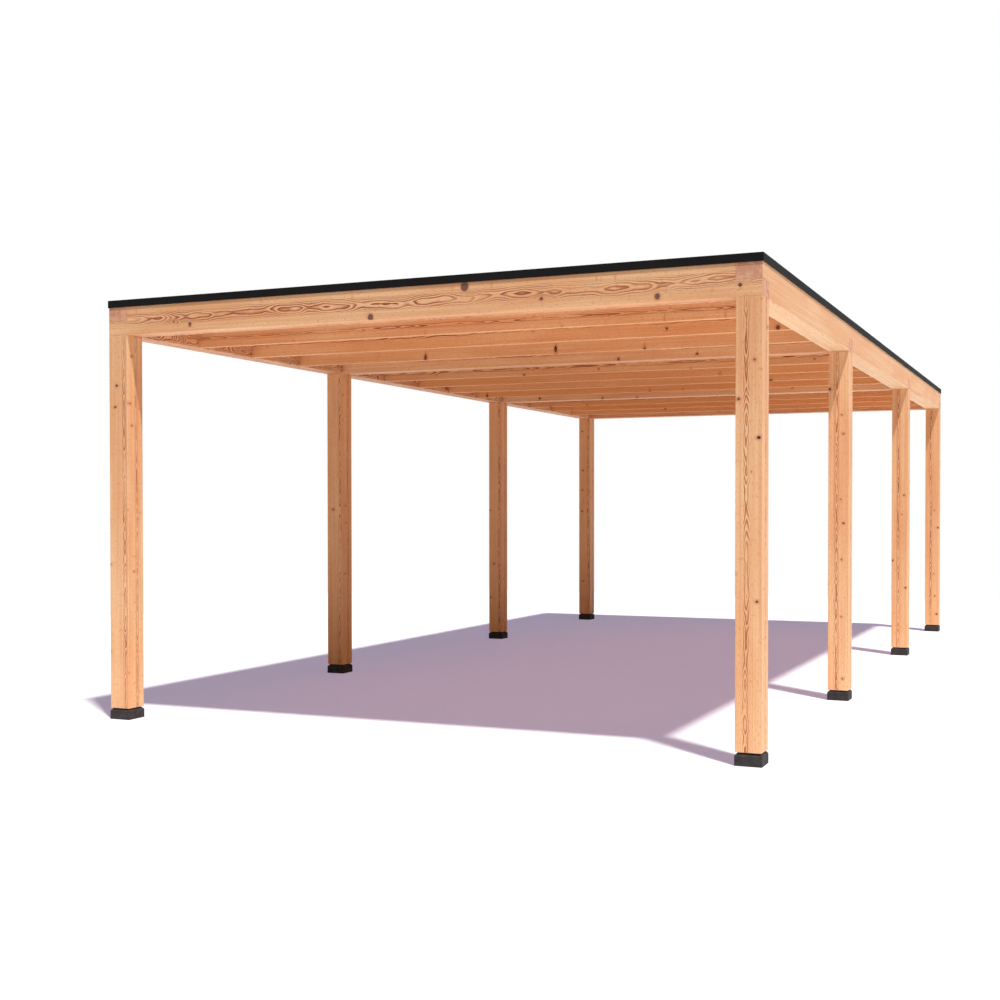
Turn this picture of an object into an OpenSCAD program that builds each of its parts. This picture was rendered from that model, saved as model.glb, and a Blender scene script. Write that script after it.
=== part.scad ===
// Freestanding patio cover: an open timber frame with a flat, boarded roof.
// Width runs along X, length along Y, and the ground is at Z = 0. The origin is on
// the ground under the middle of the roof. Row 1 is the front row, at -Y.

/* [Overall] */
// Width over the outer faces of the posts
frame_w = 4425; // [3000:5:6000]
// Length over the outer faces of the posts
frame_l = 8840; // [6500:5:12000]
// Clear height from the ground to the underside of the beams
clear_h = 2560; // [2000:5:3200]

/* [Posts and beams] */
// Side of a square post, which is also the width of every beam
post_w = 150; // [100:5:220]
// Height of the beams
beam_h = 185; // [120:5:260]
// Distance between post centres in the two end bays
end_bay = 2710; // [1500:5:3000]

/* [Joists] */
// Thickness of a joist
joist_t = 50; // [30:5:90]
// Height of a joist, hung level with the top of the beams
joist_h = 185; // [100:5:260]
// Joists in each end bay
end_bay_joists = 3; // [1:1:6]
// Joists in the middle bay
middle_bay_joists = 4; // [1:1:8]

/* [Plinths] */
// Side of the concrete block under a post
plinth_w = 156; // [120:1:320]
// Height of the block
plinth_h = 75; // [40:1:200]
// Width and height of the chamfer round its top
plinth_chamfer = 18; // [5:1:30]

/* [Roof] */
// Thickness of the roof boards
board_t = 18; // [12:1:30]
// Width of the battens round the roof edge
batten_w = 45; // [30:1:90]
// Height of those battens
batten_h = 27; // [15:1:60]
// Thickness of the membrane
membrane_t = 1.5; // [1:0.1:3]
// Distance from the bottom of the boards up to the membrane's turned-down edge
membrane_edge_up = 5; // [4:0.5:12]

/* [Edge trim] */
// Sheet thickness of the trim
trim_t = 1.5; // [0.8:0.1:3]
// Distance that the trim stands out from the beams
trim_out = 5; // [4:0.5:15]
// Width of the trim's top flange
trim_flange = 48; // [20:1:80]
// Width of the lip folded in at the trim's bottom
trim_lip = 4; // [2:0.5:4]

/* [Hidden] */

ROWS = [1, 2, 3, 4];
SIDES = ["left", "right"];
CROSS_BEAMS = ["front_beam", "front_middle_beam", "back_middle_beam", "back_beam"];
EDGES = ["front", "right", "back", "left"];

wood_colour = "#DDA06A";
board_colour = "#C98B57";
concrete_colour = "#3C3B3A";
membrane_colour = "#222324";
trim_colour = "#28282B";

// Levels above the ground
beam_bottom = clear_h;
beam_top = beam_bottom + beam_h;
lap_level = beam_bottom + beam_h / 2;
deck_top = beam_top + board_t;
batten_top = deck_top + batten_h;
membrane_top = batten_top + membrane_t;
trim_top = membrane_top + trim_t;

// How far a cutting solid runs past the face that it cuts
past = 10;

// Post rows: the places of their centres along Y
outer_row_y = (frame_l - post_w) / 2;
row_y = [-outer_row_y, end_bay - outer_row_y, outer_row_y - end_bay, outer_row_y];
post_x = (frame_w - post_w) / 2;
inner_w = frame_w - 2 * post_w;

// Joists: evenly spaced between the beams of each bay
bay_joists = [end_bay_joists, middle_bay_joists, end_bay_joists];
function bay_clear(bay) = row_y[bay + 1] - row_y[bay] - post_w;
function bay_gap(bay) = (bay_clear(bay) - bay_joists[bay] * joist_t) / (bay_joists[bay] + 1);
function joist_place(bay, k) =
    row_y[bay] + post_w / 2 + k * (bay_gap(bay) + joist_t) - joist_t / 2;
joist_y = [for (bay = [0:2]) for (k = [1:bay_joists[bay]]) joist_place(bay, k)];
JOISTS = [for (i = [1:len(joist_y)]) i];

function side_of(name) = name == "left" ? -1 : 1;
function two_digits(n) = n < 10 ? str("0", n) : str(n);
function plinth_name(side, row) = str(side, "_plinth_", row);
function post_name(side, row) = str(side, "_post_", row);
function joist_name(i) = str("joist_", two_digits(i));

// A box centred on the origin in plan, between two levels
module slab(w, l, bottom, top) {
    translate([-w / 2, -l / 2, bottom]) cube([w, l, top - bottom]);
}

// Outline of a plinth seen from the side
module plinth_outline() {
    half = plinth_w / 2;
    shoulder = plinth_h - plinth_chamfer;
    polygon([
        [-half, 0],
        [half, 0],
        [half, shoulder],
        [half - plinth_chamfer, plinth_h],
        [-half + plinth_chamfer, plinth_h],
        [-half, shoulder]
    ]);
}

// Concrete block, chamfered on all four top edges
module plinth(side, row) {
    color(concrete_colour)
    translate([side_of(side) * post_x, row_y[row - 1], 0])
    intersection() {
        rotate([90, 0, 0]) linear_extrude(plinth_w, center = true) plinth_outline();
        rotate([90, 0, 90]) linear_extrude(plinth_w, center = true) plinth_outline();
    }
}

module post(side, row) {
    color(wood_colour)
    translate([side_of(side) * post_x, row_y[row - 1], 0])
    slab(post_w, post_w, plinth_h, beam_bottom);
}

// Long beam, notched from below where each cross beam's half-lap passes under it
module side_beam(side) {
    color(wood_colour)
    translate([side_of(side) * post_x, 0, 0])
    difference() {
        slab(post_w, frame_l, beam_bottom, beam_top);
        lap_notches();
    }
}

module lap_notches() {
    // The notches in the two end rows run out through the ends of the beam
    for (i = [0:3]) {
        end_side = i == 0 ? -1 : (i == 3 ? 1 : 0);
        translate([0, row_y[i] + end_side * past / 2, 0])
        slab(post_w + 2 * past, post_w + abs(end_side) * past, beam_bottom - past, lap_level);
    }
}

// Cross beam, with its upper half cut back to the inner faces of the side beams
module cross_beam(i) {
    color(wood_colour)
    translate([0, row_y[i], 0])
    union() {
        slab(frame_w, post_w, beam_bottom, lap_level);
        slab(inner_w, post_w, beam_bottom, beam_top);
    }
}

module joist(i) {
    color(wood_colour)
    translate([0, joist_y[i - 1], 0])
    slab(inner_w, joist_t, beam_top - joist_h, beam_top);
}

module roof_deck() {
    color(board_colour)
    slab(frame_w, frame_l, beam_top, deck_top);
}

// Batten along one roof edge: those at the front and back run the full width,
// and those at the sides fit between them
module batten(edge) {
    across = edge == "front" || edge == "back";
    sign = edge == "front" || edge == "left" ? -1 : 1;
    color(wood_colour)
    if (across)
        translate([0, sign * (frame_l - batten_w) / 2, 0])
        slab(frame_w, batten_w, deck_top, batten_top);
    else
        translate([sign * (frame_w - batten_w) / 2, 0, 0])
        slab(batten_w, frame_l - 2 * batten_w, deck_top, batten_top);
}

// Membrane: flat on the boards, up and over the battens, and turned down outside them
module roof_membrane() {
    skin = 2 * membrane_t;
    field_w = frame_w - 2 * batten_w;
    field_l = frame_l - 2 * batten_w;
    edge_bottom = beam_top + membrane_edge_up;
    color(membrane_colour)
    difference() {
        slab(frame_w + skin, frame_l + skin, edge_bottom, membrane_top);
        slab(frame_w, frame_l, edge_bottom - past, deck_top);
        difference() {
            slab(frame_w, frame_l, deck_top - past, batten_top);
            slab(field_w, field_l, deck_top - 2 * past, batten_top + past);
        }
        slab(field_w - skin, field_l - skin, deck_top + membrane_t, membrane_top + past);
    }
}

// Section of the edge trim: X is outwards from the face of the beams, Y is up
module trim_section() {
    polygon([
        [trim_out, beam_top],
        [trim_out, trim_top],
        [trim_out - trim_flange, trim_top],
        [trim_out - trim_flange, membrane_top],
        [trim_out - trim_t, membrane_top],
        [trim_out - trim_t, beam_top + trim_t],
        [trim_out - trim_lip, beam_top + trim_t],
        [trim_out - trim_lip, beam_top]
    ]);
}

// One length of trim for an edge that lies along X, mitred at both ends
module mitred_trim(edge_l, face_y) {
    half = edge_l / 2 + trim_out;
    mitre_bottom = beam_top - past;
    mitre_h = trim_top - mitre_bottom + past;
    intersection() {
        translate([0, -face_y, 0])
        rotate([90, 0, -90])
        linear_extrude(2 * half, center = true) trim_section();
        translate([0, -face_y - trim_out, mitre_bottom])
        linear_extrude(mitre_h)
        polygon([
            [-half, 0],
            [half, 0],
            [half - trim_flange, trim_flange],
            [-half + trim_flange, trim_flange]
        ]);
    }
}

module trim(edge) {
    across = edge == "front" || edge == "back";
    turn = [for (i = [0:3]) if (EDGES[i] == edge) 90 * i][0];
    edge_l = across ? frame_w : frame_l;
    face_y = (across ? frame_l : frame_w) / 2;
    color(trim_colour)
    rotate([0, 0, turn])
    mitred_trim(edge_l, face_y);
}

for (side = SIDES) {
    for (row = ROWS) {
        plinth(side, row);
        post(side, row);
    }
    side_beam(side);
}
for (i = [0:3]) {
    cross_beam(i);
}
for (i = JOISTS) {
    joist(i);
}
roof_deck();
roof_membrane();
for (edge = EDGES) {
    batten(edge);
    trim(edge);
}
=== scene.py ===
"""Timber patio cover: the looks of its pieces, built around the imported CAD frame."""

import math

import bmesh
import bpy
from bpy.props import FloatProperty, FloatVectorProperty, IntProperty, PointerProperty
from mathutils import Euler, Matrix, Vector


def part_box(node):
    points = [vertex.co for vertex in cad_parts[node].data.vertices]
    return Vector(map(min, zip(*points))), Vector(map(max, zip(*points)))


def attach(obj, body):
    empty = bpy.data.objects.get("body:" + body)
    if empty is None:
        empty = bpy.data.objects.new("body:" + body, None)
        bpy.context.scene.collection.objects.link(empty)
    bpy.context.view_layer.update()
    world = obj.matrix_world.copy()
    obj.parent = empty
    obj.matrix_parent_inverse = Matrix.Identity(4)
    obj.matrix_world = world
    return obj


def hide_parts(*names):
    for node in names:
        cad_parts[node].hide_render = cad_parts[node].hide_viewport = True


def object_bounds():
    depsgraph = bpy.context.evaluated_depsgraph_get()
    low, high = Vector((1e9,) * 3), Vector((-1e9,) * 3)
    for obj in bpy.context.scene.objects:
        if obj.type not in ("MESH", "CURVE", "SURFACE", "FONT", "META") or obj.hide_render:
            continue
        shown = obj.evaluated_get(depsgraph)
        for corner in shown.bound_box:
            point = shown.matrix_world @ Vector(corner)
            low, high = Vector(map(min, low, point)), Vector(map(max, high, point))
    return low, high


bl_info = {
    "name": "Patio Cover",
    "version": (1, 0, 0),
    "blender": (4, 5, 0),
    "location": "View3D > Sidebar > Patio Cover",
    "description": "Models and finishes a timber patio cover around its CAD frame",
    "category": "Object",
}

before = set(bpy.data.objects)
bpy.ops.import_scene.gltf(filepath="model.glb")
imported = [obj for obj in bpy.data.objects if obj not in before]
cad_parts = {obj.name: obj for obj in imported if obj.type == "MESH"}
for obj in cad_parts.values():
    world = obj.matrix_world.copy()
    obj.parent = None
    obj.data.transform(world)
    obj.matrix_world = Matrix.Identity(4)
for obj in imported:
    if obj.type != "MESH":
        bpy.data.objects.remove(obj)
cad_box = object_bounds()

SIDES = ("left", "right")
ROWS = (1, 2, 3, 4)
CROSS_BEAMS = ("front_beam", "front_middle_beam", "back_middle_beam", "back_beam")
JOISTS = tuple(sorted(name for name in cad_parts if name.startswith("joist_")))
# Outward direction of each roof edge
EDGES = {
    "front": Vector((0, -1, 0)),
    "right": Vector((1, 0, 0)),
    "back": Vector((0, 1, 0)),
    "left": Vector((-1, 0, 0)),
}
BODY = "root"
MM = 1000  # millimetres in a metre
# Points closer than this are one point, in metres
MERGED = 1e-5


def from_hex(code):
    """Linear colour with alpha from an sRGB hex code such as "#E0A87F"."""
    colour = []
    for i in (1, 3, 5):
        value = int(code[i : i + 2], 16) / 255
        colour.append(value / 12.92 if value <= 0.04045 else ((value + 0.055) / 1.055) ** 2.4)
    return (*colour, 1.0)


def number(name, description, default, **options):
    """A property for a number."""
    return FloatProperty(name=name, description=description, default=default, **options)


def length(name, description, default):
    """A property for a length in metres."""
    return number(name, description, default, min=0, precision=4, unit="LENGTH")


def numbers(name, description, default, **options):
    """A property for a row of numbers."""
    return FloatVectorProperty(name=name, description=description, default=default, **options)


def colour(name, description, code):
    """A property for a colour, with its default as sRGB hex."""
    return numbers(name, description, from_hex(code), subtype="COLOR", size=4, min=0, max=1)


class TimberSettings(bpy.types.PropertyGroup):
    """Planed timber of the posts, beams, joists and boards"""

    eased_edge: length("Eased edge", "Width taken off the long edges of posts and beams", 0.003)
    joist_edge: length("Joist edge", "Width taken off the long edges of the joists", 0.002)
    pale: colour("Earlywood", "Pale wood between the ring lines", "#EDC496")
    warm: colour("Warm earlywood", "Redder wood that the pale wood drifts into", "#E5B182")
    # Golden wood is partly the timbers' own tone and partly painted shade on those in the roof's
    # shadow
    gold_and_shade: colour("Golden wood", "Deeper wood of the joists and rear posts", "#E69F61")
    # Sapwood paleness on the right beam's lower face also paints light bounced up from the floor
    sapwood_and_painted_bounce: colour("Sapwood", "Creamy wood of the outermost rings", "#EED5AD")
    blush: colour("Blush", "Orange shade that leads up to a ring line", "#D28755")
    line: colour("Latewood", "Dark ring line", "#7E2B14")
    knot: colour("Knot", "Heart of a small knot", "#1E110D")
    branch: colour("Branch wood", "Wood of a large or faded knot", "#6E4C42")
    end: colour("End grain", "Sawn end of a timber", "#EDB694")


class RoofSettings(bpy.types.PropertyGroup):
    """Boards, membrane and trim of the roof"""

    boards: IntProperty(
        name="Boards", description="Boards side by side across the roof", default=37, min=10
    )
    tongue: length("Tongue", "Depth of a board's tongue", 0.006)
    v_joint: length("V joint", "Width of the chamfer along a board's lower edges", 0.003)
    membrane_wave: length("Membrane wave", "Height of the ripples in the membrane", 0.003)
    rubber: colour("Membrane", "Rubber sheet on the roof", "#232425")
    dust: colour("Dust", "Dust that dries on the membrane", "#383735")
    trim: colour("Edge trim", "Powder coat on the edge trim", "#1C1B1B")
    trim_tone: colour("Trim tone", "Paler shade that the powder coat drifts into", "#1F1E1E")
    trim_flange: length("Trim flange", "Width of the trim on top of the roof", 0.048)
    trim_lip: length("Trim lip", "Width of the lip folded in under the trim", 0.004)
    trim_sheet: length("Trim sheet", "Thickness of the trim and of the membrane", 0.0015)
    trim_bend: length("Trim bend", "Radius on the edges and bends of the trim", 0.00075)


class PlinthSettings(bpy.types.PropertyGroup):
    """Cast blocks under the posts"""

    chamfer: length("Chamfer", "Width of the chamfer round the top of a block", 0.018)
    worn_edge: length("Worn edge", "Radius on the edges of a block", 0.0025)
    concrete: colour("Concrete", "Dyed cement of the blocks", "#2A2728")
    grit: colour("Grit", "Pale grit at the surface of the blocks", "#3C3838")
    # The air hole colour is painted shade inside holes that are only dents in the bump
    hole_and_shade: colour("Air hole", "Inside of a small air hole", "#1E1C1B")


class StageSettings(bpy.types.PropertyGroup):
    """Floor, light and camera"""

    floor: colour("Floor", "Pale paper of the floor", "#FAF5EF")
    shade: colour("Floor shade", "Tint of the floor where the cover shades it", "#CBC8F7")
    sky: colour("Sky", "Soft light from all round", "#FFF6F0")
    shade_share: number("Shade share", "Part of the seen floor that is tint", 0.35, max=1)
    sky_level: number("Sky level", "Strength of the light from all round", 0.14, min=0)
    key: colour("Key light", "Light from high at the front right", "#FBFBFF")
    key_level: number("Key level", "Strength of the key light", 5.2, min=0)
    key_from: numbers(
        "Key direction", "Direction towards the key light", (0.274, -0.228, 0.934), subtype="XYZ"
    )
    key_softness: number(
        "Key softness", "Angle that the key light takes up", math.radians(3), subtype="ANGLE"
    )
    eye: numbers(
        "Camera place",
        "Where the camera stands",
        (3.8835, -11.4838, 1.4014),
        subtype="TRANSLATION",
        unit="LENGTH",
    )
    turn: number(
        "Camera turn", "Turn to the left of straight ahead", math.radians(22.4136), subtype="ANGLE"
    )
    tilt: number("Camera tilt", "Tilt above level", math.radians(-0.8627), subtype="ANGLE")
    lens: number("Lens", "Focal length in millimetres, on a 36 mm wide sensor", 47.67)
    shift: numbers(
        "Camera shift", "Sideways and upwards shift of the picture", (-0.05, 0.0296), size=2
    )


# Nodes


# Settings of a Map Range node that starts and ends softly
SOFT = {"interpolation_type": "SMOOTHSTEP"}
# Numbers of the sockets of a Mix node for colours: its inputs and its output
SHARE, UNDER, OVER = 0, 6, 7
MIXED = 2


def node(tree, kind, inputs=(), output=0, **settings):
    """Add a shader node and return one of its outputs.

    inputs holds sockets to link and values to set, in socket order, or by name or number.
    """
    new = tree.nodes.new("ShaderNode" + kind)
    for key, value in settings.items():
        setattr(new, key, value)
    column = 0
    for key, value in inputs.items() if isinstance(inputs, dict) else enumerate(inputs):
        if isinstance(value, bpy.types.NodeSocket):
            tree.links.new(value, new.inputs[key])
            column = max(column, value.node.location.x + 200)
        else:
            new.inputs[key].default_value = value
    row = sum(1 for other in tree.nodes if other is not new and other.location.x == column)
    new.location = (column, -180 * row)
    return new.outputs[output] if new.outputs else new


def new_material(name):
    """An empty node material."""
    material = bpy.data.materials.new(name)
    material.use_nodes = True
    material.node_tree.nodes.clear()
    return material


def finish_surface(tree, height, strength, depth, looks):
    """End a material with a bump whose depth is in metres, and a shader with its looks."""
    bump = node(tree, "Bump", {"Height": height, "Strength": strength, "Distance": depth})
    shader = node(tree, "BsdfPrincipled", {**looks, "Normal": bump})
    node(tree, "OutputMaterial", {"Surface": shader})


# Modelling


def alone(piece):
    """Make a piece the only selected object, and the active one."""
    bpy.ops.object.select_all(action="DESELECT")
    piece.select_set(True)
    bpy.context.view_layer.objects.active = piece


def named_active(name):
    """Put the active object's place, turn and scale into its mesh, and name it."""
    piece = bpy.context.active_object
    bpy.ops.object.transform_apply(location=True, rotation=True, scale=True)
    piece.name = piece.data.name = name
    return piece


def add_block(name, low, high):
    """A cube primitive that fills the space between two corners."""
    bpy.ops.object.select_all(action="DESELECT")
    bpy.ops.mesh.primitive_cube_add(size=1, location=(low + high) / 2, scale=high - low)
    return named_active(name)


def add_plane(name, place, size, turn=(0, 0, 0)):
    """A plane primitive of a size, with its middle at a place."""
    bpy.ops.object.select_all(action="DESELECT")
    bpy.ops.mesh.primitive_plane_add(size=1, location=place, rotation=turn)
    bpy.ops.transform.resize(value=size, orient_type="GLOBAL")
    return named_active(name)


def pick(piece, kind, wanted):
    """In edit mode, select the faces or the edges that pass a test, and no others.

    A face is tested by its centre and normal, and an edge by its two ends.
    """
    bpy.ops.mesh.select_mode(type=kind)
    bpy.ops.mesh.select_all(action="DESELECT")
    mesh = bmesh.from_edit_mesh(piece.data)
    if kind == "FACE":
        for face in mesh.faces:
            face.select_set(wanted(face.calc_center_median(), face.normal))
    else:
        for edge in mesh.edges:
            edge.select_set(wanted(edge.verts[0].co, edge.verts[1].co))
    bmesh.update_edit_mesh(piece.data)


def cut_all(place, normal, **options):
    """In edit mode, cut the whole mesh with a plane."""
    bpy.ops.mesh.select_all(action="SELECT")
    bpy.ops.mesh.bisect(plane_co=place, plane_no=normal, **options)


def push(offset):
    """In edit mode, extrude what is selected by an offset."""
    bpy.ops.mesh.extrude_region_move(TRANSFORM_OT_translate={"value": offset})


def apply_modifier(piece, kind, **settings):
    """Add a modifier with its settings and apply it."""
    alone(piece)
    modifier = piece.modifiers.new(kind.title(), kind)
    for key, value in settings.items():
        setattr(modifier, key, value)
    bpy.ops.object.modifier_apply(modifier=modifier.name)


def ease_edges(piece, width, segments=2):
    """Round the edges where faces meet at an angle."""
    limit = {"limit_method": "ANGLE", "angle_limit": math.radians(30)}
    apply_modifier(piece, "BEVEL", width=width, segments=segments, **limit)


def copy_of(piece, name, offset=(0, 0, 0)):
    """A copy with its own mesh, moved by an offset."""
    alone(piece)
    bpy.ops.object.duplicate(linked=False)
    bpy.ops.transform.translate(value=offset)
    return named_active(name)


def hand_over(piece, material, slot, *nodes):
    """Give a finished piece its material, and let it stand for its CAD nodes. The slot is not used.
    """
    piece.data.materials.clear()
    piece.data.materials.append(material)
    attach(piece, BODY)
    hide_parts(*nodes)


# Planed Douglas fir


# Turns that bring the grain of a timber onto the pattern's Z axis
GRAIN_TURN = {
    "X": Euler((0, -math.pi / 2, 0)),
    "Y": Euler((math.pi / 2, 0, 0)),
    "Z": Euler((0, 0, 0)),
}
GRAIN_AXIS = {"X": (1, 0, 0), "Y": (0, 1, 0), "Z": (0, 0, 1)}
# Distance along the grain between one place in the endless pattern and the next, in metres
PATTERN_STEP = 17.3
# Numbers of the places at which each kind of timber starts
POST_START, SIDE_BEAM_START, CROSS_BEAM_START = 2, 20, 30
JOIST_START, BATTEN_START, BOARD_START = 40, 60, 70
FIGURE_INPUTS = ("Ring width", "Line taper", "Figure width", "Drift", "Loop length")
FIGURE_INPUTS += ("Trunk taper", "Knot size", "Knot spacing")
# Figures of the timbers, in millimetres: distance between rings, how sharply a ring line fades in
# as a power, half-width of the column of loops, how far the rings drift, length of a loop, taper
# of the trunk as a slope, radius of the largest knots, and distance between the knots
POST_FIGURE = (2.7, 1.5, 20.0, 30.0, 380.0, 0.0, 9.5, 250.0)
BEAM_FIGURE = (4.2, 1.2, 50.0, 46.0, 450.0, 0.008, 25.0, 260.0)
LEFT_BEAM_FIGURE = (5.4, 0.9, 120.0, 70.0, 320.0, 0.008, 12.0, 420.0)
INNER_BEAM_FIGURE = (3.6, 0.9, 34.0, 30.0, 620.0, 0.008, 12.0, 420.0)
SIDE_BEAM_FIGURE = (3.0, 1.6, 24.0, 30.0, 900.0, 0.01, 9.0, 420.0)
JOIST_FIGURE = (3.4, 1.2, 18.0, 26.0, 620.0, 0.01, 13.0, 480.0)
BOARD_FIGURE = (3.0, 1.4, 26.0, 24.0, 600.0, 0.02, 15.0, 450.0)


def streaks(tree, place, across, along, detail, roughness=0.5):
    """Noise whose blotches have a width across the grain and a length along it, in millimetres."""
    size = (1 / across, 1 / across, 1 / along)
    place = node(tree, "VectorMath", (place, size), operation="MULTIPLY")
    inputs = {"Vector": place, "Scale": 1.0, "Detail": detail, "Roughness": roughness}
    return node(tree, "TexNoise", inputs)


def distance(tree, across, along):
    """Distance from the origin of a point in a plane."""
    place = node(tree, "CombineXYZ", (across, along))
    return node(tree, "VectorMath", (place,), "Value", operation="LENGTH")


def fir_knots(tree, from_heart, along, outline, given):
    """Knots of the fir figure: branches that run straight out from the heart, five or so round it.

    Returns the distance to the surface of the nearest branch, its radius, 1 where it is thick
    enough to show and 0 where not, how strongly the rings part round it, a smudge for a branch
    that ends below the surface, which only reddens the wood across the grain, and a random number
    for each branch.
    """
    # Angles are measured from a corner of the timber, so that the pattern's seam is at a corner
    round_heart = 5 / math.tau
    inputs = {"Vector": from_heart, "Angle": math.radians(45)}
    turned = node(tree, "VectorRotate", inputs, rotation_type="Z_AXIS")
    parts = node(tree, "SeparateXYZ", (turned,)).node.outputs
    angle = node(tree, "Math", (parts["Y"], parts["X"]), operation="ARCTAN2")
    cell_x = node(tree, "Math", (angle, round_heart), operation="MULTIPLY")
    cell_y = node(tree, "Math", (along, given["Knot spacing"]), operation="DIVIDE")
    cell = node(tree, "CombineXYZ", (cell_x, cell_y))
    inputs = {"Vector": cell, "Scale": 1.0, "Randomness": 1.0}
    nearest = node(tree, "TexVoronoi", inputs, "Position", voronoi_dimensions="2D")
    kind = node(tree, "SeparateColor", (nearest.node.outputs["Color"],))
    branch = node(tree, "SeparateXYZ", (nearest,)).node.outputs

    branch_angle = node(tree, "Math", (branch["X"], -round_heart), operation="DIVIDE")
    inputs = {"Vector": turned, "Angle": branch_angle}
    beside = node(tree, "VectorRotate", inputs, rotation_type="Z_AXIS")
    beside = node(tree, "SeparateXYZ", (beside,), "Y")
    level = node(tree, "Math", (branch["Y"], given["Knot spacing"]), operation="MULTIPLY")
    above = node(tree, "Math", (along, level), operation="SUBTRACT")
    away = distance(tree, beside, above)
    away = node(tree, "Math", (outline, 3.0, away), operation="MULTIPLY_ADD")
    away = node(tree, "Math", (away, 1.5), operation="SUBTRACT")
    radius = node(tree, "MapRange", (kind, 0.4, 1.0, 0.0, given["Knot size"]))
    # A branch is thin at the heart, and has its full width 110 mm out
    taper = node(tree, "VectorMath", (from_heart,), "Value", operation="LENGTH")
    taper = node(tree, "MapRange", (taper, 0.0, 110.0, 0.1, 1.0))
    radius = node(tree, "Math", (radius, taper), operation="MULTIPLY")
    gap = node(tree, "Math", (away, radius), operation="SUBTRACT")

    has_knot = node(tree, "MapRange", (radius, 1.5, 4.0), **SOFT)
    parting = node(tree, "Math", (above, 0.28), operation="MULTIPLY")
    parting = distance(tree, beside, parting)
    reach = node(tree, "Math", (radius, 2.6), operation="MULTIPLY")
    parting = node(tree, "MapRange", (parting, 0.0, reach, 1.0, 0.0))
    parting = node(tree, "Math", (parting, has_knot), operation="MULTIPLY")

    smudge = node(tree, "Math", (beside, 0.4), operation="MULTIPLY")
    smudge = distance(tree, smudge, above)
    smudge = node(tree, "Math", (outline, 6.0, smudge), operation="MULTIPLY_ADD")
    smudge = node(tree, "MapRange", (smudge, 2.0, 15.0, 1.0, 0.0), **SOFT)
    hidden = node(tree, "MapRange", (kind, 0.35, 0.25, 0.0, 0.75), **SOFT)
    smudge = node(tree, "Math", (smudge, hidden), operation="MULTIPLY")
    return gap, radius, has_knot, parting, smudge, kind.node.outputs["Green"]


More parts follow.
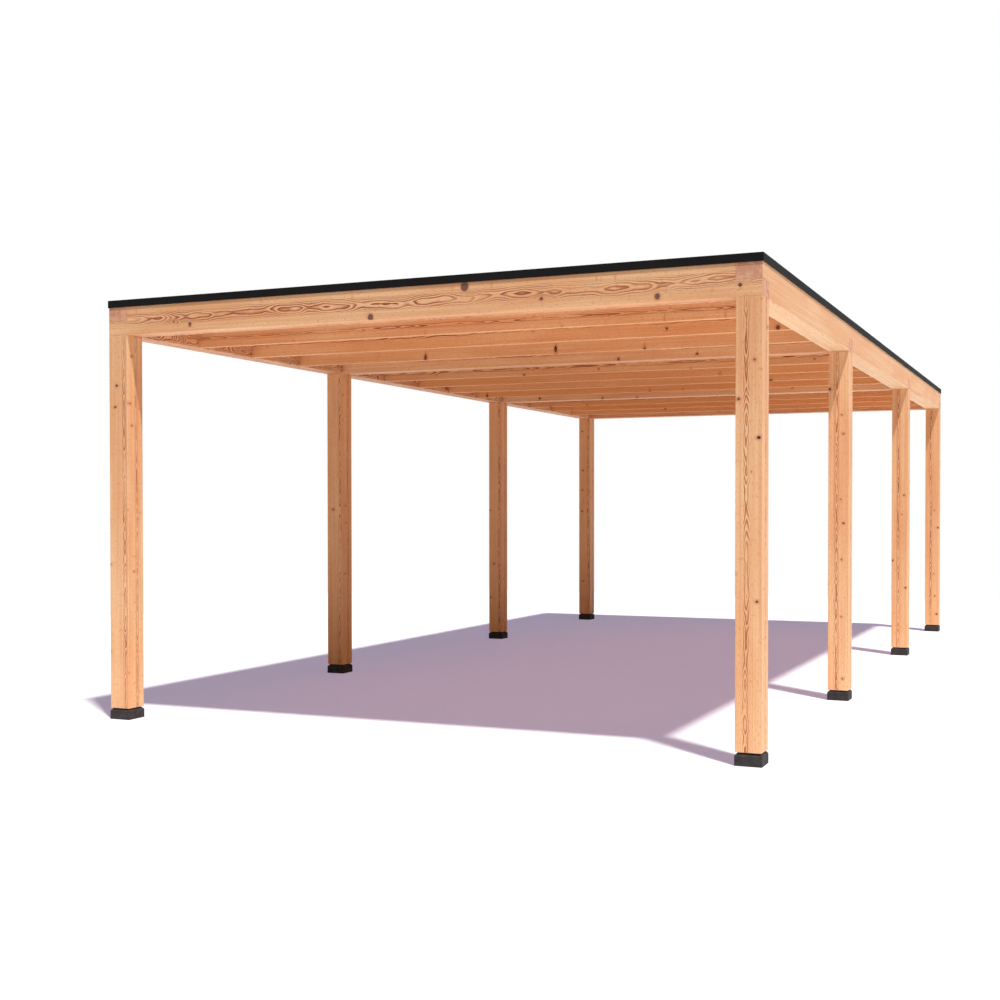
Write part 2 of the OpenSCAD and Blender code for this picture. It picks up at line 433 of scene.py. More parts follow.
def fir_figure():
    """Node group with the figure of planed Douglas fir, in millimetres around a timber's middle.

    Growth rings circle the heart and drift along the grain, so a face shows pointed loops in a
    column over the heart and fine straight lines beside it.
    """
    tree = bpy.data.node_groups.get("Douglas fir figure")
    if tree:
        return tree
    timber = bpy.context.scene.patio_timber
    tree = bpy.data.node_groups.new("Douglas fir figure", "ShaderNodeTree")
    for name in ("Place", "Heart"):
        tree.interface.new_socket(name, in_out="INPUT", socket_type="NodeSocketVector")
    for name in FIGURE_INPUTS + ("Gold and shade", "End grain"):
        tree.interface.new_socket(name, in_out="INPUT", socket_type="NodeSocketFloat")
    for name, kind in (("Colour", "Color"), ("Roughness", "Float"), ("Height", "Float")):
        tree.interface.new_socket(name, in_out="OUTPUT", socket_type="NodeSocket" + kind)
    given = tree.nodes.new("NodeGroupInput").outputs
    mm = node(tree, "VectorMath", (given["Place"], (MM, MM, MM)), operation="MULTIPLY")
    along = node(tree, "SeparateXYZ", (mm,), "Z")

    # The heart wanders slowly from side to side, about 5 mm in 1.2 m of a post
    wander = node(tree, "Math", (along, 1200.0), operation="DIVIDE")
    inputs = {"W": wander, "Scale": 1.0, "Detail": 1.0}
    wander = node(tree, "TexNoise", inputs, "Color", noise_dimensions="1D")
    wander = node(tree, "VectorMath", (wander, (0.5, 0.5, 0.5)), operation="SUBTRACT")
    inputs = {"Vector": wander, "Scale": given["Figure width"]}
    wander = node(tree, "VectorMath", inputs, operation="SCALE")
    from_heart = node(tree, "VectorMath", (mm, wander), operation="ADD")
    from_heart = node(tree, "VectorMath", (from_heart, given["Heart"]), operation="SUBTRACT")
    from_heart = node(tree, "VectorMath", (from_heart, (1, 1, 0)), operation="MULTIPLY")

    outline = streaks(tree, mm, 7, 7, 0.0)
    knots = fir_knots(tree, from_heart, along, outline, given)
    knot_gap, knot_radius, has_knot, parting, smudge, knot_kind = knots
    in_knot = node(tree, "MapRange", (knot_gap, -0.8, 1.2, 1.0, 0.0), **SOFT)
    in_knot = node(tree, "Math", (in_knot, has_knot), operation="MULTIPLY")
    near_knot = node(tree, "MapRange", (knot_gap, 0.0, 17.0, 1.0, 0.0), **SOFT)
    near_knot = node(tree, "Math", (near_knot, has_knot), operation="MULTIPLY")

    # Rings are pushed in and out along the grain, and part round the knots
    loop = node(tree, "Math", (1.0, given["Loop length"]), operation="DIVIDE")
    stretch = node(tree, "CombineXYZ", (1 / 260, 1 / 260, loop))
    drift = node(tree, "VectorMath", (mm, stretch), operation="MULTIPLY")
    inputs = {"Vector": drift, "Scale": 1.0, "Detail": 2.0, "Roughness": 0.6}
    drift = node(tree, "TexNoise", inputs)
    drift = node(tree, "Math", (drift, 0.5), operation="SUBTRACT")
    ring = node(tree, "VectorMath", (from_heart,), "Value", operation="LENGTH")
    ring = node(tree, "Math", (drift, given["Drift"], ring), operation="MULTIPLY_ADD")
    # The tree's sapwood starts about 245 mm out from the heart. It shows mainly on the right beam's
    # lower face, where its paleness also paints the light that the floor throws up at it.
    sapwood_and_painted_bounce = node(tree, "MapRange", (ring, 236.0, 254.0), **SOFT)
    unrest = streaks(tree, mm, 24, 60, 1.0)
    ring = node(tree, "Math", (unrest, 2.2, ring), operation="MULTIPLY_ADD")
    ring = node(tree, "Math", (along, given["Trunk taper"], ring), operation="MULTIPLY_ADD")
    # Rings are a little squared, which gives the loops their sharp points
    off_column = node(tree, "VectorMath", (from_heart,), operation="ABSOLUTE")
    off_column = node(tree, "SeparateXYZ", (off_column,)).node.outputs
    off_column = node(tree, "Math", (off_column["X"], off_column["Y"]), operation="MINIMUM")
    squared = node(tree, "MapRange", (given["End grain"], 0.0, 1.0, 0.1, 0.0))
    ring = node(tree, "Math", (off_column, squared, ring), operation="MULTIPLY_ADD")
    ring = node(tree, "Math", (ring, given["Ring width"]), operation="DIVIDE")
    ring = node(tree, "Math", (parting, 3.0, ring), operation="MULTIPLY_ADD")

    # A ring darkens slowly towards its line, which ends sharply
    phase = node(tree, "Math", (ring,), operation="FRACT")
    late = node(tree, "MapRange", (phase, 0.15, 0.9), **SOFT)
    late = node(tree, "Math", (late, given["Line taper"]), operation="POWER")
    stop = node(tree, "MapRange", (phase, 0.93, 1.0, 1.0, 0.0), **SOFT)
    late = node(tree, "Math", (late, stop), operation="MULTIPLY")
    count = node(tree, "Math", (ring,), operation="FLOOR")
    ring_kind = node(tree, "TexWhiteNoise", {"W": count}, noise_dimensions="1D")

    # The figure is bold in the column over the heart and faint beside it
    patches = streaks(tree, mm, 45, 420, 2.0)
    column = node(tree, "Math", (off_column, given["Figure width"]), operation="DIVIDE")
    column = node(tree, "Math", (column, patches), operation="ADD")
    column = node(tree, "MapRange", (column, 1.1, 1.6, 1.0, 0.1), **SOFT)
    bold = node(tree, "MapRange", (patches, 0.35, 0.58, 0.42, 1.0), **SOFT)
    some = node(tree, "MapRange", (ring_kind, 0.0, 1.0, 0.6, 1.0), **SOFT)
    bold = node(tree, "Math", (bold, some), operation="MULTIPLY")
    bold = node(tree, "Math", (bold, column), operation="MULTIPLY")
    for share, most in ((near_knot, 0.7), (given["End grain"], 0.5)):
        least = node(tree, "Math", (share, most), operation="MULTIPLY")
        bold = node(tree, "Math", (bold, least), operation="MAXIMUM")

    # Fibres about 1.6 mm wide, streaks about 8 mm wide, and slow changes of shade
    fibre = streaks(tree, mm, 1.6, 70, 2.0, 0.6)
    fine = node(tree, "MapRange", (fibre, 0.3, 0.7, 0.0, 0.12), **SOFT)
    streak = streaks(tree, mm, 8, 900, 2.0)
    streak = node(tree, "MapRange", (streak, 0.32, 0.72, 0.0, 0.42), **SOFT)
    shade = streaks(tree, mm, 130, 700, 2.0)
    shade = node(tree, "MapRange", (shade, 0.32, 0.68), **SOFT)
    # Resin flecks are about 1 mm wide, drawn 5 mm wide to show
    fleck = streaks(tree, mm, 5, 24, 1.0)
    fleck = node(tree, "MapRange", (fleck, 0.56, 0.68, 0.0, 0.65), **SOFT)
    blushed = node(tree, "Math", (late, bold), operation="MULTIPLY")
    dark = node(tree, "Math", (late, 1.4), operation="POWER")
    dark = node(tree, "Math", (dark, bold), operation="MULTIPLY")
    round_knot = node(tree, "Math", (near_knot, 0.35), operation="MULTIPLY")

    # A small knot is black or faded, and a large one is brown with rings of its own, 5 mm apart
    knot_rings = node(tree, "Math", (knot_gap, 1.26), operation="MULTIPLY")
    knot_rings = node(tree, "Math", (knot_rings,), operation="SINE")
    knot_rings = node(tree, "MapRange", (knot_rings, -0.4, 0.9, 0.0, 0.45), **SOFT)
    inputs = {SHARE: knot_rings, UNDER: timber.branch, OVER: timber.line}
    large_knot = node(tree, "Mix", inputs, MIXED, data_type="RGBA")
    large = node(tree, "MapRange", (knot_radius, 8.0, 12.0, 0.0, 0.9), **SOFT)
    faded = node(tree, "MapRange", (knot_kind, 0.3, 0.7, 0.0, 0.9), **SOFT)
    large = node(tree, "Math", (large, faded), operation="MAXIMUM")
    inputs = {SHARE: large, UNDER: timber.knot, OVER: large_knot}
    knot_wood = node(tree, "Mix", inputs, MIXED, data_type="RGBA")
    # Sawn ends are darker in blotches
    blotch = node(tree, "MapRange", (patches, 0.42, 0.62, 0.0, 0.25), **SOFT)
    end_lines = node(tree, "Math", (late, 0.6, blotch), operation="MULTIPLY_ADD")
    inputs = {SHARE: end_lines, UNDER: timber.end, OVER: timber.line}
    end_wood = node(tree, "Mix", inputs, MIXED, data_type="RGBA")
    end_share = node(tree, "Math", (given["End grain"], 0.85), operation="MULTIPLY")

    wood = timber.pale
    for share, tint in (
        (shade, timber.warm),
        # The gold share is partly painted shade
        (given["Gold and shade"], timber.gold_and_shade),
        # Sapwood also paints the light bounced up from the floor
        (sapwood_and_painted_bounce, timber.sapwood_and_painted_bounce),
        (streak, timber.blush),
        (fleck, timber.blush),
        (fine, timber.blush),
        (blushed, timber.blush),
        (dark, timber.line),
        (round_knot, timber.blush),
        (smudge, timber.blush),
        (in_knot, knot_wood),
        (end_share, end_wood),
    ):
        inputs = {SHARE: share, UNDER: wood, OVER: tint}
        wood = node(tree, "Mix", inputs, MIXED, data_type="RGBA")

    roughness = node(tree, "MapRange", (late, 0.0, 1.0, 0.66, 0.54), **SOFT)
    roughness = node(tree, "Math", (in_knot, -0.12, roughness), operation="MULTIPLY_ADD")
    height = 0.0
    for share, rise in ((late, 0.4), (fibre, 0.5), (in_knot, 0.6)):
        height = node(tree, "Math", (share, rise, height), operation="MULTIPLY_ADD")
    result = tree.nodes.new("NodeGroupOutput")
    for name, value in (("Colour", wood), ("Roughness", roughness), ("Height", height)):
        tree.links.new(value, result.inputs[name])
    return tree


def fir_material(name, low, high, grain, start, figure, heart, gold_and_shade=0.0, sheen=0.5, moved=None):
    """Planed Douglas fir: a satin honey-tan surface with red-brown ring lines and small dark knots.

    The figure lies round the middle of the timber between low and high, with its grain along one
    axis. start is the number of its place in the endless pattern. The heart of the tree is off the
    timber's middle by a vector across the grain, in millimetres. The gold share is how far the
    timber turns to the deeper wood, which is partly its own tone and partly painted shade, and
    sheen how strongly its surface reflects. Where a piece holds many boards, the attribute named
    by moved gives each its own place as well.
    """
    material = new_material("Douglas fir, planed: " + name)
    tree = material.node_tree
    turn = GRAIN_TURN[grain].to_matrix()
    centre = turn @ ((low + high) / 2)
    inputs = {
        "Vector": node(tree, "TexCoord", (), "Object"),
        "Rotation": GRAIN_TURN[grain],
        "Location": Vector((0, 0, start * PATTERN_STEP)) - centre,
    }
    place = node(tree, "Mapping", inputs)
    if moved:
        own = node(tree, "Attribute", (), "Vector", attribute_name=moved)
        place = node(tree, "VectorMath", (place, own), operation="ADD")
    normal = node(tree, "TexCoord", (), "Normal")
    facing = (normal, GRAIN_AXIS[grain])
    facing = node(tree, "VectorMath", facing, "Value", operation="DOT_PRODUCT")
    facing = node(tree, "Math", (facing,), operation="ABSOLUTE")
    end_grain = node(tree, "MapRange", (facing, 0.6, 0.85))
    inputs = {"Place": place, "Heart": heart, "Gold and shade": gold_and_shade, "End grain": end_grain}
    inputs.update(zip(FIGURE_INPUTS, figure))
    fir = node(tree, "Group", inputs, node_tree=fir_figure()).node.outputs
    looks = {"Base Color": fir["Colour"], "Roughness": fir["Roughness"]}
    looks |= {"IOR": 1.5, "Specular IOR Level": sheen}
    finish_surface(tree, fir["Height"], 0.35, 0.0004, looks)
    return material


def notched_beam(name, low, high, runs, notches):
    """A beam drawn as its side elevation and extruded across, with rectangles cut from it.

    runs is the axis that the beam lies along, 0 for X or 1 for Y. Each notch is its start, end,
    bottom and top on the elevation.
    """
    thick = 1 - runs
    size = high - low
    middle = (low + high) / 2
    middle[thick] = low[thick]
    turn = (math.pi / 2, 0, 0) if runs == 0 else (0, math.pi / 2, 0)
    beam = add_plane(name, middle, size, turn)
    ahead = Vector((thick, runs, 0))
    bpy.ops.object.mode_set(mode="EDIT")
    for start, end, bottom, top in notches:
        for place in (start, end):
            if low[runs] < place < high[runs]:
                cut_all(ahead * place, ahead)
        for level in (bottom, top):
            if low.z < level < high.z:
                cut_all((0, 0, level), (0, 0, 1))

    def in_notch(centre, _normal):
        return any(
            start < centre[runs] < end and bottom < centre.z < top
            for start, end, bottom, top in notches
        )

    pick(beam, "FACE", in_notch)
    bpy.ops.mesh.delete(type="FACE")
    bpy.ops.mesh.select_all(action="SELECT")
    bpy.ops.mesh.dissolve_limited(angle_limit=math.radians(1))
    push(Vector((runs, thick, 0)) * size[thick])
    bpy.ops.mesh.select_all(action="SELECT")
    bpy.ops.mesh.remove_doubles(threshold=MERGED)
    bpy.ops.mesh.normals_make_consistent(inside=False)
    bpy.ops.object.mode_set(mode="OBJECT")
    return beam


class PATIO_OT_posts(bpy.types.Operator):
    """Square posts with eased edges"""

    bl_idname = "patio.posts"
    bl_label = "Posts"

    # How far each post turns to the deeper wood, row after row. This is painted shade: the left
    # posts behind the first and the rear right posts stand in the roof's shadow.
    GOLD_AND_SHADE = {"left": (0.0, 0.35, 0.5, 0.45), "right": (0.0, 0.0, 0.1, 0.3)}
    # The heart is far right of the middle in the left posts, and left of it in the right ones
    HEART = {"left": (48, 12, 0), "right": (-14, 8, 0)}

    def execute(self, context):
        timber = context.scene.patio_timber
        start = POST_START
        for side in SIDES:
            for row, gold_and_shade in zip(ROWS, self.GOLD_AND_SHADE[side]):
                node_name = f"{side}_post_{row}"
                low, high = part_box(node_name)
                post = add_block(node_name + "_timber", low, high)
                ease_edges(post, timber.eased_edge)
                look = (POST_FIGURE, self.HEART[side], gold_and_shade)
                wood = fir_material(node_name, low, high, "Z", start, *look)
                hand_over(post, wood, "timber", node_name)
                start += 1
        return {"FINISHED"}


class PATIO_OT_side_beams(bpy.types.Operator):
    """Long beams that keep their upper half over each cross beam"""

    bl_idname = "patio.side_beams"
    bl_label = "Side Beams"

    def execute(self, context):
        timber = context.scene.patio_timber
        for start, side in enumerate(SIDES, SIDE_BEAM_START):
            node_name = side + "_beam"
            low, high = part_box(node_name)
            lap = (low.z + high.z) / 2
            notches = []
            for cross in CROSS_BEAMS:
                cross_low, cross_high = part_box(cross)
                notches.append((cross_low.y, cross_high.y, low.z, lap))
            beam = notched_beam(node_name + "_timber", low, high, 1, notches)
            ease_edges(beam, timber.eased_edge)
            # The heart of the left beam is near its outer face, so bold loops show inside. That of
            # the right beam is well outside it, so its faces show fine straight lines, and its
            # lower face is pale sapwood, which also paints the light that the floor throws up at
            # it.
            figure, heart = LEFT_BEAM_FIGURE, (-45, 42, 0)
            if side == "right":
                figure, heart = SIDE_BEAM_FIGURE, (130, -150, 0)
            wood = fir_material(node_name, low, high, "Y", start, figure, heart)
            hand_over(beam, wood, "timber", node_name)
        return {"FINISHED"}


class PATIO_OT_cross_beams(bpy.types.Operator):
    """Cross beams that run out to the sides in their lower half"""

    bl_idname = "patio.cross_beams"
    bl_label = "Cross Beams"

    def execute(self, context):
        timber = context.scene.patio_timber
        left_low, left_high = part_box("left_beam")
        beam_w = left_high.x - left_low.x
        for start, node_name in enumerate(CROSS_BEAMS, CROSS_BEAM_START):
            low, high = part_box(node_name)
            lap = (low.z + high.z) / 2
            notches = [
                (low.x, low.x + beam_w, lap, high.z),
                (high.x - beam_w, high.x, lap, high.z),
            ]
            beam = notched_beam(node_name + "_timber", low, high, 0, notches)
            ease_edges(beam, timber.eased_edge)
            # The two outer beams have the larger knots. The heart is towards the inner face in the
            # back beam and the rear face in the others, so the far face shows long loops.
            figure = INNER_BEAM_FIGURE if "middle" in node_name else BEAM_FIGURE
            heart = (-6, -45 if node_name == "back_beam" else 45, 0)
            wood = fir_material(node_name, low, high, "X", start, figure, heart)
            hand_over(beam, wood, "timber", node_name)
        return {"FINISHED"}


class PATIO_OT_joists(bpy.types.Operator):
    """Joists between the side beams"""

    bl_idname = "patio.joists"
    bl_label = "Joists"

    # One joist after another: how far it turns to the deeper wood, and how many millimetres the
    # heart lies below its middle. The deeper wood is partly the joists' own tone and partly painted
    # shade, which grows towards the back, deeper under the roof.
    GOLD_AND_SHADE = (0.1, 0.3, 0.2, 0.3, 0.6, 0.5, 0.8, 0.7, 0.85, 0.7)
    HEART_DOWN = (30, 0, -20, 34, -30, 10, -10)
    # Joists are planed less smooth than the other timbers, so they reflect less
    SHEEN = 0.2

    def execute(self, context):
        timber = context.scene.patio_timber
        for i, node_name in enumerate(JOISTS):
            low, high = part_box(node_name)
            joist = add_block(node_name + "_timber", low, high)
            ease_edges(joist, timber.joist_edge)
            # Sawn from one side of the heart, which lies 60 mm off the joist's middle
            heart = (self.HEART_DOWN[i % len(self.HEART_DOWN)], 60 if i % 2 else -60, 0)
            look = (JOIST_FIGURE, heart, self.GOLD_AND_SHADE[i % len(self.GOLD_AND_SHADE)], self.SHEEN)
            wood = fir_material(node_name, low, high, "X", JOIST_START + i, *look)
            hand_over(joist, wood, "timber", node_name)
        return {"FINISHED"}


class PATIO_OT_battens(bpy.types.Operator):
    """Battens round the roof edge, under the membrane"""

    bl_idname = "patio.battens"
    bl_label = "Battens"

    def execute(self, context):
        for start, edge in enumerate(EDGES, BATTEN_START):
            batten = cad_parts[edge + "_batten"]
            low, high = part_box(edge + "_batten")
            grain = "Y" if EDGES[edge].x else "X"
            wood = fir_material(batten.name, low, high, grain, start, BOARD_FIGURE, (50, 0, 0))
            batten.data.materials.clear()
            batten.data.materials.append(wood)
        return {"FINISHED"}


# Rubber, powder coat and concrete


def in_steps(tree, size):
    """Object coordinates counted in steps of a size in metres."""
    place = node(tree, "TexCoord", (), "Object")
    return node(tree, "Mapping", {"Vector": place, "Scale": Vector((1, 1, 1)) / size})


def object_noise(tree, size, detail=2.0, roughness=0.5):
    """Noise on Object coordinates with blotches of about a size in metres."""
    place = in_steps(tree, size)
    inputs = {"Vector": place, "Scale": 1.0, "Detail": detail, "Roughness": roughness}
    return node(tree, "TexNoise", inputs)


def blend(tree, noise, start, end, first, second):
    """One colour turning smoothly into another over a range of a noise."""
    share = node(tree, "MapRange", (noise, start, end), **SOFT)
    inputs = {SHARE: share, UNDER: first, OVER: second}
    return node(tree, "Mix", inputs, MIXED, data_type="RGBA")


def concrete_material():
    """Cast concrete, dyed charcoal: dull, mottled, with pale grit and small air holes."""
    plinth = bpy.context.scene.patio_plinth
    material = new_material("Cast concrete, dyed charcoal")
    tree = material.node_tree
    mottle = object_noise(tree, 0.035, 4.0, 0.6)
    grit = object_noise(tree, 0.0025, 2.0, 0.7)
    cast = blend(tree, mottle, 0.3, 0.75, plinth.concrete, plinth.grit)
    cast = blend(tree, grit, 0.58, 0.75, cast, plinth.grit)
    # Air holes 2 to 3 mm wide, about 12 mm apart, dented in the bump and darkened with painted
    # shade
    place = in_steps(tree, 0.012)
    hole_and_shade = node(tree, "TexVoronoi", {"Vector": place, "Scale": 1.0})
    hole_and_shade = node(tree, "MapRange", (hole_and_shade, 0.1, 0.16), **SOFT)
    inputs = {SHARE: hole_and_shade, UNDER: plinth.hole_and_shade, OVER: cast}
    cast = node(tree, "Mix", inputs, MIXED, data_type="RGBA")
    height = node(tree, "Math", (hole_and_shade, 2.0, grit), operation="MULTIPLY_ADD")
    looks = {"Base Color": cast, "Roughness": 0.92, "Specular IOR Level": 0.3}
    finish_surface(tree, height, 0.6, 0.0008, looks)
    return material


def rubber_material():
    """EPDM rubber sheet: a soft black with a low sheen, greyed where dust has dried on it."""
    roof = bpy.context.scene.patio_roof
    material = new_material("EPDM rubber sheet")
    tree = material.node_tree
    dust = object_noise(tree, 0.9, 4.0, 0.6)
    sheet = blend(tree, dust, 0.42, 0.72, roof.rubber, roof.dust)
    grain = object_noise(tree, 0.004, 1.0)
    roughness = node(tree, "MapRange", (dust, 0.35, 0.7, 0.62, 0.82))
    looks = {"Base Color": sheet, "Roughness": roughness, "IOR": 1.5}
    finish_surface(tree, grain, 0.25, 0.0004, looks)
    return material


def powder_coat_material():
    """Powder-coated aluminium: satin black with the fine ripple of baked powder."""
    roof = bpy.context.scene.patio_roof
    material = new_material("Aluminium, powder-coated")
    tree = material.node_tree
    # The ripple is about 1 mm across, drawn at 2.5 mm to show
    ripple = object_noise(tree, 0.0025, 1.0)
    tone = object_noise(tree, 0.6, 2.0)
    coat = blend(tree, tone, 0.3, 0.7, roof.trim, roof.trim_tone)
    roughness = node(tree, "MapRange", (tone, 0.3, 0.7, 0.55, 0.62))
    looks = {"Base Color": coat, "Roughness": roughness, "IOR": 1.5, "Specular IOR Level": 0.03}
    finish_surface(tree, ripple, 0.15, 0.0002, looks)
    return material


class PATIO_OT_plinths(bpy.types.Operator):
    """Cast blocks with a chamfer round the top"""

    bl_idname = "patio.plinths"
    bl_label = "Plinths"

    def execute(self, context):
        plinth = context.scene.patio_plinth
        concrete = concrete_material()
        first_low, first_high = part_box("left_plinth_1")
        block = add_block("plinth", first_low, first_high)
        bpy.ops.object.mode_set(mode="EDIT")
        pick(block, "EDGE", lambda a, b: min(a.z, b.z) > first_low.z + plinth.chamfer)
        bpy.ops.mesh.bevel(offset=plinth.chamfer, segments=1, affect="EDGES")
        bpy.ops.object.mode_set(mode="OBJECT")
        ease_edges(block, plinth.worn_edge)
        for side in SIDES:
            for row in ROWS:
                node_name = f"{side}_plinth_{row}"
                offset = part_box(node_name)[0] - first_low
                copy = copy_of(block, node_name + "_block", offset)
                hand_over(copy, concrete, "concrete", node_name)
        bpy.data.objects.remove(block)
        return {"FINISHED"}


class PATIO_OT_roof_boards(bpy.types.Operator):
    """Tongued and grooved boards along the roof, with a V joint below"""

    bl_idname = "patio.roof_boards"
    bl_label = "Roof Boards"

    # Gap between boards, in metres
    GAP = 0.0005
    # Attribute that holds each board's place in the pattern
    PLACE = "board_place"
    # Joists under the butt joints of one row after another
    JOINTS = ("joist_04", "joist_07", "joist_05")

    def execute(self, context):
        roof = context.scene.patio_roof
        low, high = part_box("roof_deck")
        cover = (high.x - low.x) / roof.boards
        boards = []
        for row in range(roof.boards):
            joint_low, joint_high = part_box(self.JOINTS[row % len(self.JOINTS)])
            joint = (joint_low.y + joint_high.y) / 2
            left = low.x + row * cover
            # The last row has no tongue, and ends flush with the side of the roof
            facings = (-1,) if row == roof.boards - 1 else (1, -1)
            for start, end in ((low.y, joint - self.GAP / 2), (joint + self.GAP / 2, high.y)):
                first = Vector((left, start, low.z))
                last = Vector((left + cover - self.GAP, end, high.z))
                board = self.board(first, last, roof, facings)
                self.give_place(board, left + cover / 2, len(boards))
                boards.append(board)
        bpy.ops.object.select_all(action="DESELECT")
        for board in boards:
            board.select_set(True)
        bpy.context.view_layer.objects.active = boards[0]
        bpy.ops.object.join()
        deck = named_active("roof_boards")
        look = (BOARD_START, BOARD_FIGURE, (0, 55, 0))
        wood = fir_material("roof boards", low, high, "Y", *look, moved=self.PLACE)
        hand_over(deck, wood, "roof_boards", "roof_deck")
        return {"FINISHED"}

    def board(self, low, high, roof, facings):
        """One board between two corners.

        Of the sides that it faces, the one towards +X gets a tongue and the other a groove.
        """
        piece = add_block("board", low, high)
        third = (high.z - low.z) / 3
        bottom, top = low.z + third, high.z - third
        bpy.ops.object.mode_set(mode="EDIT")
        for level in (bottom, top):
            cut_all((0, 0, level), (0, 0, 1))
        for facing in facings:
            pick(piece, "FACE", lambda at, normal: normal.x * facing > 0.9 and bottom < at.z < top)
            push((roof.tongue, 0, 0))
        lowest = low.z + MERGED
        pick(piece, "EDGE", lambda a, b: max(a.z, b.z) < lowest and abs(a.x - b.x) < MERGED)
        bpy.ops.mesh.bevel(offset=roof.v_joint, segments=1, affect="EDGES")
        bpy.ops.object.mode_set(mode="OBJECT")
        return piece

    def give_place(self, board, middle, order):
        """Store where the board's own figure is centred and where it starts along the grain."""
        place = board.data.attributes.new(self.PLACE, "FLOAT_VECTOR", "POINT")
        count = len(board.data.vertices)
        place.data.foreach_set("vector", (-middle, 0.0, order * PATTERN_STEP) * count)


class PATIO_OT_membrane(bpy.types.Operator):
    """Rubber sheet that lies on the boards and turns up over the battens"""

    bl_idname = "patio.membrane"
    bl_label = "Membrane"

    # Squares across and along the flat of the sheet, about 100 mm each
    SQUARES = (44, 88)
    # Distance between ripples, in metres
    RIPPLE = 0.7

    def execute(self, context):
        roof = context.scene.patio_roof
        sheet = roof.trim_sheet
        low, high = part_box("roof_membrane")
        batten_low, batten_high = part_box("front_batten")
        middle = (low + high) / 2
        middle.z = batten_low.z
        outer = high - low
        # The flat of the sheet lies between the battens
        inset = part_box("left_batten")[1].x - low.x + sheet
        inner = outer - Vector((2 * inset, 2 * inset, 0))
        across, along = self.SQUARES
        bpy.ops.object.select_all(action="DESELECT")
        bpy.ops.mesh.primitive_grid_add(
            x_subdivisions=across,
            y_subdivisions=along,
            size=1,
            location=middle + Vector((0, 0, sheet)),
        )
        bpy.ops.transform.resize(value=(inner.x, inner.y, 1))
        membrane = named_active("membrane_sheet")
        # Only the flat ripples, inside the fold along its edge
        flat_x, flat_y = (half - 2 * sheet for half in inner.xy / 2)
        flat = [
            vertex.index
            for vertex in membrane.data.vertices
            if abs(vertex.co.x - middle.x) < flat_x and abs(vertex.co.y - middle.y) < flat_y
        ]
        membrane.vertex_groups.new(name="flat").add(flat, 1.0, "REPLACE")
        bpy.ops.object.mode_set(mode="EDIT")
        bpy.ops.mesh.select_all(action="SELECT")
        bpy.ops.mesh.region_to_loop()
        push((0, 0, batten_high.z - batten_low.z))
        push((0, 0, 0))
        bpy.ops.transform.resize(
            value=(outer.x / inner.x, outer.y / inner.y, 1), center_override=middle
        )
        push((0, 0, low.z - high.z + sheet))
        bpy.ops.object.mode_set(mode="OBJECT")
        ripple = bpy.data.textures.new("membrane ripple", "CLOUDS")
        ripple.noise_scale = self.RIPPLE
        apply_modifier(
            membrane,
            "DISPLACE",
            texture=ripple,
            texture_coords="GLOBAL",
            direction="Z",
            strength=roof.membrane_wave,
            mid_level=0.25,
            vertex_group="flat",
        )
        apply_modifier(membrane, "SOLIDIFY", thickness=sheet, offset=-1, use_even_offset=True)
        hand_over(membrane, rubber_material(), "membrane", "roof_membrane")
        return {"FINISHED"}


class PATIO_OT_edge_trim(bpy.types.Operator):
    """Folded trim round the roof edge, mitred at the corners"""

    bl_idname = "patio.edge_trim"
    bl_label = "Edge Trim"

    # Set back of each mitre, in metres
    GAP = 0.0004

    def execute(self, context):
        roof = context.scene.patio_roof
        coat = powder_coat_material()
        low, high = cad_box
        low = Vector((low.x, low.y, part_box("front_trim")[0].z))
        size = high - low
        top = Vector((0, 0, high.z))
        ring = add_plane("trim_ring", top, (size.x, size.y, 1))
        bpy.ops.object.mode_set(mode="EDIT")
        bpy.ops.mesh.select_all(action="SELECT")
        bpy.ops.mesh.inset(thickness=roof.trim_flange)
        bpy.ops.mesh.delete(type="FACE")
        pick(ring, "EDGE", lambda a, b: self.outside(a, size) and self.outside(b, size))
        push((0, 0, -size.z))
        push((0, 0, 0))
        lip = 2 * roof.trim_lip
        bpy.ops.transform.resize(
            value=((size.x - lip) / size.x, (size.y - lip) / size.y, 1), center_override=top
        )
        bpy.ops.mesh.select_all(action="SELECT")
        bpy.ops.mesh.normals_make_consistent(inside=False)
        bpy.ops.object.mode_set(mode="OBJECT")
        apply_modifier(ring, "SOLIDIFY", thickness=roof.trim_sheet, offset=-1, use_even_offset=True)
        ease_edges(ring, roof.trim_bend, 3)
        for edge, outward in EDGES.items():
            trim = copy_of(ring, edge + "_trim_fold")
            along = Vector((-outward.y, outward.x, 0))
            reach = abs(outward.dot(size)) / 2
            half = abs(along.dot(size)) / 2
            bpy.ops.object.mode_set(mode="EDIT")
            # The far side of the ring goes first, then this side is mitred
            cut_all((0, 0, 0), outward, clear_inner=True)
            for end in (-1, 1):
                corner = outward * reach + along * (half - self.GAP) * end
                cut_all(corner, outward - along * end, clear_inner=True, use_fill=True)
            bpy.ops.mesh.select_all(action="SELECT")
            bpy.ops.mesh.dissolve_degenerate(threshold=MERGED)
            bpy.ops.object.mode_set(mode="OBJECT")
            hand_over(trim, coat, "edge_trim", edge + "_trim")
        bpy.data.objects.remove(ring)
        return {"FINISHED"}

    def outside(self, place, size):
        """True on the outer rectangle of the ring."""
        return abs(place.x) > size.x / 2 - MERGED or abs(place.y) > size.y / 2 - MERGED


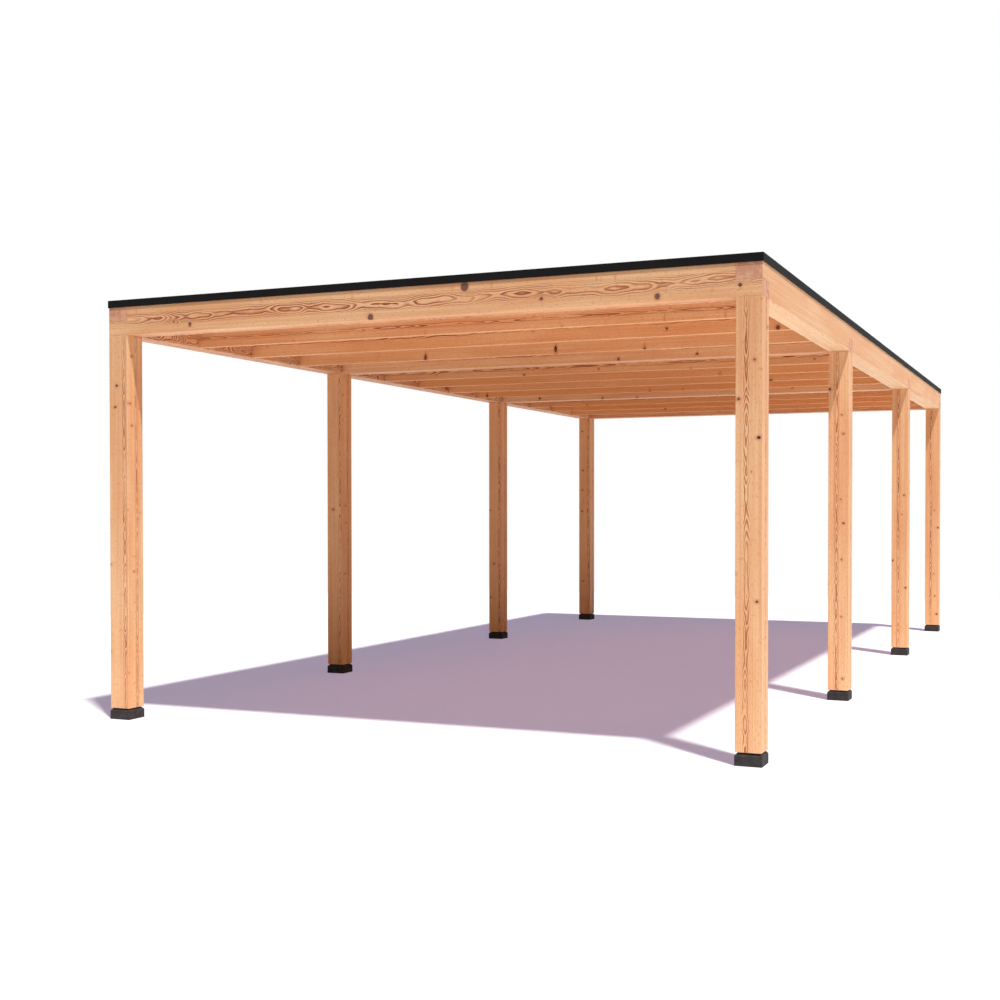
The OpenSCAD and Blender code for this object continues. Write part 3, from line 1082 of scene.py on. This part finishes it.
class PATIO_OT_stage(bpy.types.Operator):
    """Pale floor, soft light and the camera"""

    bl_idname = "patio.stage"
    bl_label = "Stage"

    # The floor reaches further to the right, where it throws light up at the side beam
    FLOOR_PLACE = (3, -0.5, 0)
    FLOOR_SIZE = (22, 20, 1)
    LAMP_DISTANCE = 10
    SENSOR = 36
    # How far the camera sees, in metres
    SIGHT = 500

    def execute(self, context):
        stage = context.scene.patio_stage
        floor = add_plane("floor", self.FLOOR_PLACE, self.FLOOR_SIZE)
        floor.data.materials.append(self.floor_material(stage))
        self.light_world(context.scene, stage)

        key_from = Vector(stage.key_from)
        bpy.ops.object.light_add(type="SUN", location=key_from * self.LAMP_DISTANCE)
        key = context.active_object
        key.name = "key_light"
        key.rotation_euler = key_from.to_track_quat("Z", "Y").to_euler()
        key.data.energy = stage.key_level
        key.data.color = stage.key[:3]
        key.data.angle = stage.key_softness

        turned = (math.radians(90) + stage.tilt, 0, stage.turn)
        bpy.ops.object.camera_add(location=stage.eye, rotation=turned)
        camera = context.active_object
        camera.name = "camera"
        camera.data.sensor_width = self.SENSOR
        camera.data.lens = stage.lens
        camera.data.shift_x, camera.data.shift_y = stage.shift
        camera.data.clip_end = self.SIGHT
        context.scene.camera = camera
        context.scene.view_settings.view_transform = "Standard"
        return {"FINISHED"}

    def floor_material(self, stage):
        """Matt paper: seen white where it is lit, and the cover's shadow stays on it."""
        material = new_material("Matt studio paper")
        tree = material.node_tree
        paper = node(tree, "BsdfDiffuse", {"Color": stage.floor})
        # Seen by the camera, part of the shadow is filled with a cool tint
        seen = node(tree, "LightPath", (), "Is Camera Ray")
        fill = node(tree, "Math", (seen, stage.shade_share), operation="MULTIPLY")
        tint = node(tree, "Emission", {"Color": stage.shade, "Strength": 1.0})
        shader = node(tree, "MixShader", (fill, paper, tint))
        node(tree, "OutputMaterial", {"Surface": shader})
        return material

    def light_world(self, scene, stage):
        """Even light from all round, with a white backdrop where it is seen or mirrored."""
        world = bpy.data.worlds.new("Studio")
        world.use_nodes = True
        scene.world = world
        tree = world.node_tree
        tree.nodes.clear()
        rays = node(tree, "LightPath").node.outputs
        seen = rays["Is Camera Ray"]
        for name in ("Is Glossy Ray", "Is Transmission Ray"):
            seen = node(tree, "Math", (seen, rays[name]), operation="MAXIMUM")
        light = node(tree, "Background", {"Color": stage.sky, "Strength": stage.sky_level})
        backdrop = node(tree, "Background", {"Color": from_hex("#FFFFFF"), "Strength": 1.0})
        shader = node(tree, "MixShader", (seen, light, backdrop))
        node(tree, "OutputWorld", {"Surface": shader})


# The operators, in the order in which main runs them
STEPS = (
    PATIO_OT_plinths,
    PATIO_OT_posts,
    PATIO_OT_side_beams,
    PATIO_OT_cross_beams,
    PATIO_OT_joists,
    PATIO_OT_roof_boards,
    PATIO_OT_battens,
    PATIO_OT_membrane,
    PATIO_OT_edge_trim,
    PATIO_OT_stage,
)


class PATIO_PT_cover(bpy.types.Panel):
    """Steps and settings of the patio cover"""

    bl_idname = "PATIO_PT_cover"
    bl_label = "Patio Cover"
    bl_space_type = "VIEW_3D"
    bl_region_type = "UI"
    bl_category = "Patio Cover"

    def draw(self, context):
        steps = self.layout.column(align=True)
        for step in STEPS:
            steps.operator(step.bl_idname)
        for name in SETTINGS:
            settings = getattr(context.scene, name)
            box = self.layout.box()
            for key in settings.bl_rna.properties.keys():
                if key not in ("rna_type", "name"):
                    box.prop(settings, key)


SETTINGS = {
    "patio_timber": TimberSettings,
    "patio_roof": RoofSettings,
    "patio_plinth": PlinthSettings,
    "patio_stage": StageSettings,
}
CLASSES = (*SETTINGS.values(), *STEPS, PATIO_PT_cover)


def register():
    for kind in CLASSES:
        bpy.utils.register_class(kind)
    for name, kind in SETTINGS.items():
        setattr(bpy.types.Scene, name, PointerProperty(type=kind))


def unregister():
    for name in SETTINGS:
        delattr(bpy.types.Scene, name)
    for kind in reversed(CLASSES):
        bpy.utils.unregister_class(kind)


def main():
    """Build every piece and the stage."""
    register()
    bpy.ops.patio.plinths()
    bpy.ops.patio.posts()
    bpy.ops.patio.side_beams()
    bpy.ops.patio.cross_beams()
    bpy.ops.patio.joists()
    bpy.ops.patio.roof_boards()
    bpy.ops.patio.battens()
    bpy.ops.patio.membrane()
    bpy.ops.patio.edge_trim()
    bpy.ops.patio.stage()


if __name__ == "__main__":
    main()
